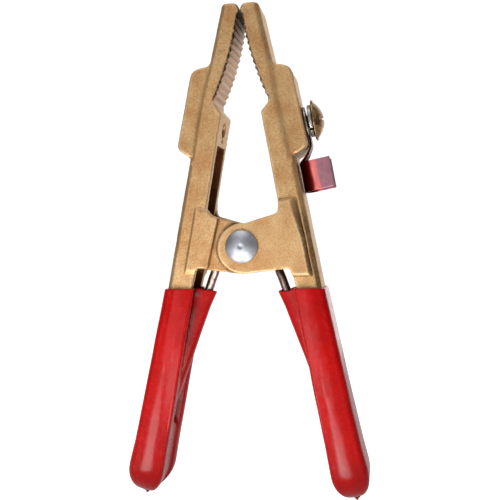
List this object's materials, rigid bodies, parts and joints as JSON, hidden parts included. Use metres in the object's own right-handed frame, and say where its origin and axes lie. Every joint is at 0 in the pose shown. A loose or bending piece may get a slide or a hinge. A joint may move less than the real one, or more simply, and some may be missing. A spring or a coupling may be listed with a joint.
{
  "type": "ground clamp",
  "caption": "Spring-loaded welding ground clamp: two toothed cast brass jaw levers on a rivet, closed by a torsion spring, with vinyl grips and an open-barrel cable lug.",
  "frame": {"origin": "centre of the bounding box with the jaws shut, 3.1 mm below the hinge axis", "axes": "+Z towards the jaw tips, +Y along the hinge axis towards the back, +X towards the lever that carries the cable lug"},
  "size_m": [0.111, 0.0362, 0.227],
  "materials": {
    "cast_brass": "sand cast, matt",
    "zinc_steel": "zinc plated",
    "red_vinyl": "dip moulded, glossy",
    "bronze_screw": "bright, yellow passivated",
    "copper_lug": "tinted, bright"
  },
  "bodies": {
    "left": {"left_lever": "cast_brass", "hinge_rivet": "zinc_steel", "spring_bush": "zinc_steel", "torsion_spring": "zinc_steel", "left_grip": "red_vinyl"},
    "right": {"right_lever": "cast_brass", "right_grip": "red_vinyl", "terminal_screw": "bronze_screw", "lock_washer": "zinc_steel", "cable_lug": "copper_lug"}
  },
  "joints": [
    {"name": "jaw_hinge", "type": "hinge", "parent": "left", "child": "right", "pos_m": [0, 0, 0.0031], "axis": [0, 1, 0], "range_deg": [0, 34], "stiffness_Nm_per_rad": 15, "springref_deg": -28.65, "deforming": ["torsion_spring"]}
  ]
}
